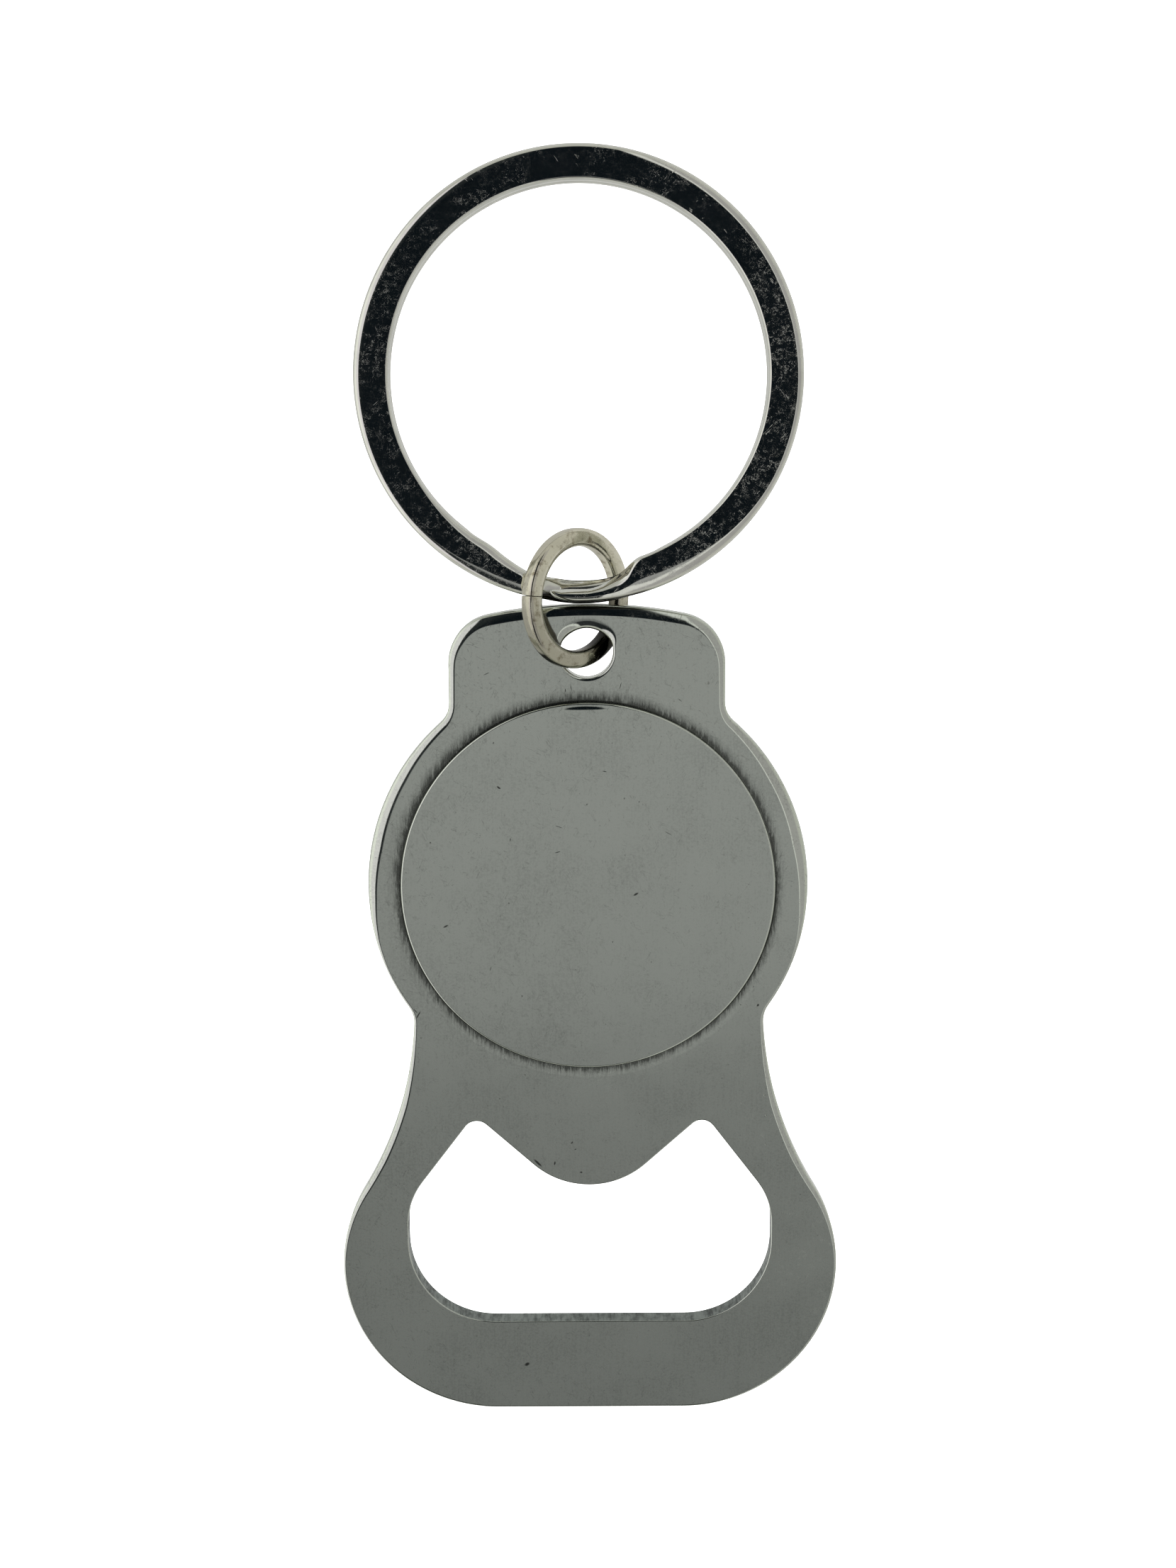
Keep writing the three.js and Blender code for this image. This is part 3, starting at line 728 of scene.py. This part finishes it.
class Graph:
    """Short hand for one material's or world's node tree. Lengths are in
    millimetres, as everywhere else here."""

    def __init__(self, tree):
        self.tree = tree
        tree.nodes.clear()

    def node(self, kind, **settings):
        made = self.tree.nodes.new(kind)
        for key, value in settings.items():
            setattr(made, key, value)
        return made

    def feed(self, socket, value):
        if isinstance(value, bpy.types.NodeSocket):
            self.tree.links.new(value, socket)
        else:
            socket.default_value = value

    def math(self, operation, a, b=0.0, clamp=False):
        made = self.node("ShaderNodeMath", operation=operation, use_clamp=clamp)
        self.feed(made.inputs[0], a)
        self.feed(made.inputs[1], b)
        return made.outputs[0]

    def most(self, *values):
        top, *rest = values
        for value in rest:
            top = self.math("MAXIMUM", top, value)
        return top

    def product(self, *values):
        total, *rest = values
        for value in rest:
            total = self.math("MULTIPLY", total, value)
        return total

    def plus(self, base, extra, weight=None):
        """base + extra, or base + extra x weight."""
        if weight is not None:
            extra = self.math("MULTIPLY", extra, weight)
        return self.math("ADD", base, extra)

    def dimmed(self, shade, mask, amount):
        """shade with the share amount taken away where mask is 1."""
        left = self.math("SUBTRACT", 1.0, self.math("MULTIPLY", mask, amount))
        return self.math("MULTIPLY", shade, left)

    def vector(self, operation, a, b):
        made = self.node("ShaderNodeVectorMath", operation=operation)
        self.feed(made.inputs[0], a)
        self.feed(made.inputs[1], b)
        return made.outputs[0]

    def distance(self, place):
        """Length of a place or vector with its height left out."""
        made = self.node("ShaderNodeVectorMath", operation="LENGTH")
        self.feed(made.inputs[0], self.vector("MULTIPLY", place, LEVEL))
        return made.outputs["Value"]

    def step(self, value, low, high, to_low=0.0, to_high=1.0):
        """Smooth change from to_low to to_high as value goes from low to high."""
        made = self.node("ShaderNodeMapRange", interpolation_type="SMOOTHSTEP")
        for socket, item in zip(made.inputs, (value, low, high, to_low, to_high)):
            self.feed(socket, item)
        return made.outputs[0]

    def placed(self, at, location, rotation, scale):
        """Places as seen from an object with this location, turn and size."""
        made = self.node("ShaderNodeMapping", vector_type="TEXTURE")
        self.feed(made.inputs["Vector"], at)
        made.inputs["Location"].default_value = location
        made.inputs["Rotation"].default_value = [deg(turn) for turn in rotation]
        made.inputs["Scale"].default_value = scale
        return made.outputs[0]

    def noise(self, at, scale, detail, roughness, stretch=(1, 1, 1), shift=(0, 0, 0), turn=0):
        """Noise, finer along each axis by its number in stretch."""
        size = tuple(1 / s for s in stretch)
        made = self.node("ShaderNodeTexNoise")
        self.feed(made.inputs["Vector"], self.placed(at, shift, (0, 0, turn), size))
        made.inputs["Scale"].default_value = scale
        made.inputs["Detail"].default_value = detail
        made.inputs["Roughness"].default_value = roughness
        return made.outputs["Fac"]

    def cells(self, at, scale):
        """Distance to the nearest cell point, and a random value of that cell."""
        made = self.node("ShaderNodeTexVoronoi")
        self.feed(made.inputs["Vector"], at)
        made.inputs["Scale"].default_value = scale
        parts = self.node("ShaderNodeSeparateColor")
        self.feed(parts.inputs[0], made.outputs["Color"])
        return made.outputs["Distance"], parts.outputs[0]

    def split(self, vector):
        made = self.node("ShaderNodeSeparateXYZ")
        self.feed(made.inputs[0], vector)
        return made.outputs

    def blend(self, share, a, b):
        made = self.node("ShaderNodeMix", data_type="RGBA")
        self.feed(made.inputs["Factor"], share)
        for name, value in (("A", a), ("B", b)):
            socket = [s for s in made.inputs if s.name == name and s.type == "RGBA"][0]
            self.feed(socket, (*value, 1) if isinstance(value, tuple) else value)
        return [s for s in made.outputs if s.type == "RGBA"][0]

    def bump(self, height, distance, strength):
        made = self.node("ShaderNodeBump")
        made.inputs["Distance"].default_value = distance * MM
        made.inputs["Strength"].default_value = strength
        self.feed(made.inputs["Height"], height)
        return made.outputs[0]

    def surface(self, colour, roughness, normal, metallic=1):
        shader = self.node("ShaderNodeBsdfPrincipled")
        shader.inputs["Metallic"].default_value = metallic
        self.feed(shader.inputs["Base Color"], colour)
        self.feed(shader.inputs["Roughness"], roughness)
        self.feed(shader.inputs["Normal"], normal)
        out = self.node("ShaderNodeOutputMaterial")
        self.feed(out.inputs[0], shader.outputs[0])
        return shader

    def millimetres(self):
        place = self.node("ShaderNodeTexCoord").outputs["Object"]
        return self.vector("MULTIPLY", place, (1000,) * 3)


def new_material(name):
    material = bpy.data.materials.new(name)
    material.use_nodes = True
    return material, Graph(material.node_tree)


def scratches(g, at, turn, density):
    """Sparse hairlines that run along one direction: 1 on a hairline."""
    sharpness = 26
    line = g.noise(at, 1.0, 1.0, 0.5, (1.1, 7, 1), (turn * 0.7, turn * 0.3, 0), turn)
    patch = g.noise(at, 1.3, 1.0, 0.5, (0.7, 1.4, 1), (turn, -turn, 3), turn)
    away = g.math("ABSOLUTE", g.product(g.math("SUBTRACT", line, 0.5), sharpness))
    fine = g.math("SUBTRACT", 1.0, away, clamp=True)
    return g.product(fine, g.step(patch, density, density + 0.08))


def pits(g, at, scale, size, share):
    """Tiny dark specks in a share of the cells."""
    distance, chance = g.cells(at, scale)
    spot = g.step(distance, size, size * 0.4)
    return g.product(spot, g.step(chance, 1 - share, 1 - share + 0.02))


def marks(g, at, places):
    """Single dents and scratches at given places on the face, each (x, y,
    length, width, turn): 1 in the middle of a mark."""
    total = 0.0
    for x, y, length, width, turn in places:
        level = g.vector("MULTIPLY", at, LEVEL)
        near = g.placed(level, (x, y, 0), (0, 0, turn), (length / 2, width / 2, 1))
        reach = g.node("ShaderNodeVectorMath", operation="LENGTH")
        g.feed(reach.inputs[0], near)
        total = g.most(total, g.step(reach.outputs["Value"], 1.0, 0.4))
    return total


def ring_shade_and_residue(g, at, front):
    """Dark streaky ring round the disc's foot: painted shade in the corner by the raised disc,
    mixed with buffing residue. It fades outwards, further on the left than on the right."""
    away = g.math("SUBTRACT", g.distance(at), SEAT_RADIUS)
    streak = g.noise(at, 1.0, 4.0, 0.7, (8, 1.1, 1), (3, 1, 0))
    reach = g.step(g.split(at)[0], 2, 11, -0.44, -0.28)
    fade = g.math("EXPONENT", g.math("DIVIDE", g.most(away, 0.0), reach))
    ring_shade = g.math("MULTIPLY", fade, g.step(streak, 0.3, 0.7, 0.55, 1.6), clamp=True)
    return g.product(ring_shade, g.step(away, -0.6, -0.4), front)


def polished_face(name, tint, with_ring_shade, places):
    """Buffed nickel: haze, vertical polish lines, pits and stray scratches."""
    material, g = new_material(name)
    at = g.millimetres()
    haze = g.noise(at, 0.22, 3.0, 0.55)
    dots = pits(g, at, 2.3, 0.16, 0.3)
    grain = g.noise(at, 6.5, 3.0, 0.7)
    lines = g.noise(at, 1.0, 2.0, 0.6, (9, 0.5, 1))
    hair = g.most(*(scratches(g, at, turn, 0.585) for turn in (63, -20, 118)))
    speck = g.most(pits(g, at, 1.1, 0.085, 0.22), pits(g, at, 0.33, 0.05, 0.3))
    # The dents and the ring of painted shade and buffing residue are on the front only, not on
    # the back.
    front = g.step(g.split(at)[2], 0.6, 1.0)
    mark = g.product(marks(g, at, places), front)

    shade = g.plus(g.step(haze, 0.3, 0.7, 0.95, 1.04), g.step(grain, 0.35, 0.65, -0.08, 0.065))
    shade = g.math("SUBTRACT", shade, g.product(dots, 0.24))
    shade = g.plus(shade, g.step(lines, 0.35, 0.65, -0.03, 0.03))
    for mask, amount in ((speck, 0.6), (hair, 0.24), (mark, 0.85)):
        shade = g.dimmed(shade, mask, amount)
    rough = g.plus(g.step(haze, 0.3, 0.75, 0.045, 0.09), hair, 0.12)
    rough = g.plus(rough, speck, 0.3)
    # Painted shade round the disc's foot, mixed with buffing residue: the colour is darkened and
    # the gloss dulled.
    if with_ring_shade:
        ring_shade = ring_shade_and_residue(g, at, front)
        shade = g.product(shade, g.step(ring_shade, 0, 1, 1, 0.22))
        rough = g.plus(rough, ring_shade, 0.2)

    height = g.plus(g.product(grain, 0.02), haze, 0.5)
    height = g.math("SUBTRACT", height, g.product(g.most(speck, mark), 0.25))
    g.surface(g.blend(shade, BLACK, tint), rough, g.bump(height, 0.02, 0.5))
    return material


def punched_wall():
    """Sheared metal: rough torn streaks across the plate's thickness."""
    material, g = new_material("punched_wall")
    at = g.millimetres()
    blotch = g.noise(at, 1.1, 4.0, 0.7, (1, 1, 0.6))
    streak = g.noise(at, 2.5, 3.0, 0.6, (2.2, 2.2, 0.25))
    shade = g.plus(g.step(blotch, 0.35, 0.65, 0.5, 1.0), g.step(streak, 0.35, 0.65, -0.25, 0.2))
    g.surface(g.blend(shade, SHEARED_DARK, SHEARED_LIGHT), g.step(blotch, 0.3, 0.7, 0.5, 0.32),
              g.bump(g.plus(blotch, streak), 0.08, 0.8))
    return material


def jump_tarnish_and_shade(g, at, colour):
    """Tarnish in blotches, the wire's own colour. Then painted shade darker towards the tab, a
    painted dark reflection on the ring's outside edge, painted shade most of all on its inside
    there, and a mask of painted shade where it lies in the hole."""
    _, y, z = g.split(at)
    blotch = g.step(g.noise(at, 1.3, 4.0, 0.7), 0.5, 0.72, 0.0, 0.8)
    colour = g.blend(blotch, colour, WIRE_TARNISH)
    # Painted shade: darker towards the tab, where the wire goes down into the hole.
    colour = g.blend(g.step(y, 18.6, 22.0, 0.42, 0.0), colour, WIRE_PAINTED_LOW_SHADE)
    hoop = g.placed(at, JUMP_CENTRE, (0, JUMP_TWIST, 0), (1, 1, 1))
    across = g.distance(hoop)
    # Painted dark reflection along the outer edge of the wire.
    dark_edge = g.step(across, JUMP_OUTER_RADIUS - 0.12, JUMP_OUTER_RADIUS, 0.0, 0.2)
    colour = g.blend(dark_edge, colour, WIRE_PAINTED_DARK_EDGE)
    inner_radius = JUMP_OUTER_RADIUS - JUMP_WIRE_RADIAL
    # Painted shade on the ring's inside, strongest towards the tab.
    inside = g.step(across, inner_radius + 0.2, inner_radius + 0.06, 0.0, 0.85)
    colour = g.blend(g.product(inside, g.step(y, 21.5, 20.0)), colour, WIRE_PAINTED_INNER_SHADE)
    # The returned mask is painted shade where the wire lies in the hole, below the plate's face.
    return colour, g.product(g.step(y, 19.2, 18.4), g.step(z, 1.3, 0.5))


def split_crevice_shade(g, at, colour):
    """Painted shade in the crevice against the tab's edge and along the outer rim at the link."""
    x, y, z = g.split(at)
    # Painted shade where the ring meets the tab's edge, and on its outer rim beside the link.
    seat = g.product(g.step(y, 20.9, 20.5), g.step(z, 1.75, 1.5))
    from_centre = g.distance(g.vector("SUBTRACT", at, (*SPLIT_CENTRE[:2], 0)))
    rim = g.step(from_centre, SPLIT_OUTER_RADIUS - 0.3, SPLIT_OUTER_RADIUS - 0.12)
    painted_shade = g.most(seat, g.product(rim, g.step(y, 22, 21)))
    return colour, g.product(painted_shade, g.step(g.math("ABSOLUTE", x), 4.8, 3.6))


def wire_metal(name, tint, base_rough, smudge_rough, smudge_shift, dent_depth, stains_and_shade):
    """Plated wire: smudges, curls of finger grease, hairlines, specks and a soft unevenness, with
    the tarnish and painted shade of one ring. smudge_shift moves the patches that smudges gather
    in, and smudge_rough is how dull they are."""
    material, g = new_material(name)
    at = g.millimetres()
    smudge = g.noise(at, 2.2, 4.0, 0.7)
    wide = g.noise(at, 0.2, 3.0, 0.6, shift=smudge_shift)
    curl = g.math("ABSOLUTE", g.math("SUBTRACT", g.noise(at, 4.5, 2.0, 0.6), 0.5))
    curl = g.product(g.step(curl, 0.03, 0.0), g.step(smudge, 0.42, 0.58))
    patch = g.step(wide, 0.4, 0.62, 0.25, 1.0)
    amount = g.product(g.most(g.step(smudge, 0.5, 0.78, 0, 0.5), curl), patch)
    hair = g.most(scratches(g, at, 38, 0.68), scratches(g, at, -52, 0.68))
    speck = pits(g, at, 1.9, 0.1, 0.3)
    rough = g.plus(base_rough, amount, smudge_rough)
    rough = g.plus(rough, g.most(hair, speck), 0.2)
    shade = g.step(g.noise(at, 0.5, 3.0, 0.6), 0.3, 0.7, 0.9, 1.05)
    colour, painted_shade = stains_and_shade(g, at, g.blend(shade, BLACK, tint))
    height = g.plus(g.product(smudge, 0.15), hair, -0.3)
    # The ring's painted shade mask darkens the colour towards near black.
    g.surface(g.blend(painted_shade, colour, WIRE_PAINTED_SHADE), rough, g.bump(height, dent_depth, 0.6))
    return material


def bonding_film():
    """Milky double-sided film, hidden under the disc."""
    material, g = new_material("bonding_film")
    cloud = g.noise(g.millimetres(), 0.8, 3.0, 0.6)
    g.surface(g.blend(cloud, FILM_CLOUDY, FILM_CLEAR), g.step(cloud, 0.3, 0.7, 0.45, 0.7),
              g.bump(cloud, 0.03, 0.5), metallic=0)
    return material


# ---- studio: the room that the polished metal mirrors ----------------------
# Grey level by how far a direction leans from straight up towards the key
# ring, in degrees: a grey ceiling on the plate's side, dark overhead.
CEILING = [
    (-90, 0.03), (-33, 0.03), (-28.5, 0.21), (-27, 0.225), (-19, 0.27), (-16.5, 0.34),
    (-12, 0.37), (-5.6, 0.40), (-3.4, 0.02), (-1, 0.004), (90, 0.004),
]
CEILING_TINT = (0, 0.003, 0.006)
# Beside the plate, as (left, right). The first two pairs are where the strip
# starts and is full, and then the same for the wall beyond it, all as |x|.
STRIP_FROM, STRIP_FULL = (0.095, 0.14), (0.235, 0.17)
WALL_FROM, WALL_FULL = (0.36, 0.22), (0.42, 0.26)
STRIP_COLOURS = ((0.02, 0.024, 0.026), (0.85, 0.85, 0.83))
WALL_COLOURS = ((0.98, 0.94, 0.98), (0.47, 0.46, 0.46))
# Low down, all round: right and left, and the lean at which it starts and is
# full. It dips a little towards and away from the key ring.
HORIZON_COLOURS = ((0.62, 0.62, 0.58), (1.15, 1.15, 1.1))
HORIZON_FROM, HORIZON_FULL = 50, 60
HORIZON_DIP = 0.14
WHITE_LIGHT = (1.7, 1.7, 1.7)

TABLE_DROP = 30               # below the plate's back, clear of the rings in every pose
TABLE_HALF_SIZE = 1.5         # metres
TABLE_GLOW = 0.95
PAPER = ((0.9, 0.9, 0.895), (0.93, 0.93, 0.925))
PAPER_IN_METAL = (0.42, 0.42, 0.41)


def build_room():
    """White light all round, and for the metal's reflections the room above.
    The ceiling is a grey band, with a dark strip and a light wall on its left
    and a light strip and a grey wall on its right."""
    world = bpy.data.worlds.new("studio")
    world.use_nodes = True
    bpy.context.scene.world = world
    g = Graph(world.node_tree)
    x, y, z = g.split(g.node("ShaderNodeTexCoord").outputs["Generated"])
    lean = g.product(g.math("ARCTAN2", y, g.math("ABSOLUTE", z)), 180 / math.pi)
    share = g.math("DIVIDE", g.plus(lean, 90), 180, clamp=True)
    ceiling = g.node("ShaderNodeValToRGB")
    g.feed(ceiling.inputs[0], share)
    ramp = ceiling.color_ramp
    ramp.interpolation = "LINEAR"
    while len(ramp.elements) < len(CEILING):
        ramp.elements.new(0.5)
    for element, (angle, level) in zip(ramp.elements, CEILING):
        element.position = (angle + 90) / 180
        element.color = (*(level + tint for tint in CEILING_TINT), 1)

    right = g.step(x, -0.02, 0.02)
    aside = g.math("ABSOLUTE", x)
    room = ceiling.outputs[0]
    for start, full, colours in ((STRIP_FROM, STRIP_FULL, STRIP_COLOURS),
                                 (WALL_FROM, WALL_FULL, WALL_COLOURS)):
        limits = [g.step(right, 0, 1, *pair) for pair in (start, full)]
        room = g.blend(g.step(aside, *limits), room, g.blend(right, *colours))
    raised = g.plus(z, g.math("ABSOLUTE", y), HORIZON_DIP)
    low = g.step(raised, math.cos(deg(HORIZON_FROM)), math.cos(deg(HORIZON_FULL)))
    room = g.blend(low, room, g.blend(g.step(x, -0.5, -0.8), *HORIZON_COLOURS))

    glossy = g.node("ShaderNodeLightPath").outputs["Is Glossy Ray"]
    background = g.node("ShaderNodeBackground")
    g.feed(background.inputs[0], g.blend(glossy, WHITE_LIGHT, room))
    out = g.node("ShaderNodeOutputWorld")
    g.feed(out.inputs[0], background.outputs[0])


def build_table():
    """White paper that gives its own light, so that no shadow falls on it, and
    that the metal mirrors grey. From underneath it is clear, so that it doesn't
    hide the plate's back."""
    half, down = TABLE_HALF_SIZE, -TABLE_DROP * MM
    mesh = bpy.data.meshes.new("table")
    corners = [(-half, -half, down), (half, -half, down), (half, half, down), (-half, half, down)]
    mesh.from_pydata(corners, [], [(0, 1, 2, 3)])
    table = bpy.data.objects.new("table", mesh)
    bpy.context.scene.collection.objects.link(table)
    material, g = new_material("table_paper")
    fibre = g.noise(g.millimetres(), 0.8, 4.0, 0.6)
    paper = g.blend(fibre, *PAPER)
    in_metal = g.node("ShaderNodeLightPath").outputs["Is Glossy Ray"]
    shader = g.surface(g.blend(in_metal, paper, PAPER_IN_METAL), 0.85,
                       g.bump(fibre, 0.05, 0.2), metallic=0)
    g.feed(shader.inputs["Emission Color"], paper)
    g.feed(shader.inputs["Emission Strength"],
           g.math("SUBTRACT", TABLE_GLOW, g.product(in_metal, TABLE_GLOW)))
    one_sided = g.node("ShaderNodeMixShader")
    g.feed(one_sided.inputs[0], g.node("ShaderNodeNewGeometry").outputs["Backfacing"])
    g.feed(one_sided.inputs[1], shader.outputs[0])
    g.feed(one_sided.inputs[2], g.node("ShaderNodeBsdfTransparent").outputs[0])
    g.feed(g.tree.nodes["Material Output"].inputs[0], one_sided.outputs[0])
    mesh.materials.append(material)


def build_camera():
    tilt = deg(CAMERA_TILT)
    back = Vector((0, math.sin(tilt), math.cos(tilt)))
    right = Vector((1, 0, 0))
    up = back.cross(right)
    place = (Vector(CAMERA_TARGET) + back * CAMERA_DISTANCE) * MM
    facing = Matrix((right, up, back)).transposed().to_4x4()
    camera = bpy.data.objects.new("camera", bpy.data.cameras.new("camera"))
    camera.data.sensor_width = SENSOR_WIDTH
    camera.data.lens = CAMERA_FOCAL_PX * SENSOR_WIDTH / max(PHOTO_SIZE)
    camera.data.clip_start = 0.005
    bpy.context.scene.collection.objects.link(camera)
    camera.matrix_world = (Matrix.Rotation(deg(-CAMERA_ROLL), 4, "Z")
                           @ Matrix.Translation(place) @ facing)
    bpy.context.scene.camera = camera


def main():
    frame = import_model()

    build_body([polished_face("polished_plate", NICKEL_PLATE, True, PLATE_MARKS), punched_wall()])
    build_disc(polished_face("polished_disc", NICKEL_DISC, False, DISC_MARKS))
    build_jump_ring(wire_metal(
        "warm_nickel_wire", WARM_WIRE, 0.1, 0.2, (4, 1, 2), 0.04, jump_tarnish_and_shade))
    build_split_ring(wire_metal(
        "bright_ring_wire", BRIGHT_WIRE, 0.05, 0.36, (0, 5, 1), 0.012, split_crevice_shade))
    pad = frame["nodes"]["adhesive_pad"].data.materials
    pad.clear()
    pad.append(bonding_film())

    bpy.context.scene.view_settings.view_transform = "Standard"
    build_room()
    build_table()
    build_camera()


main()
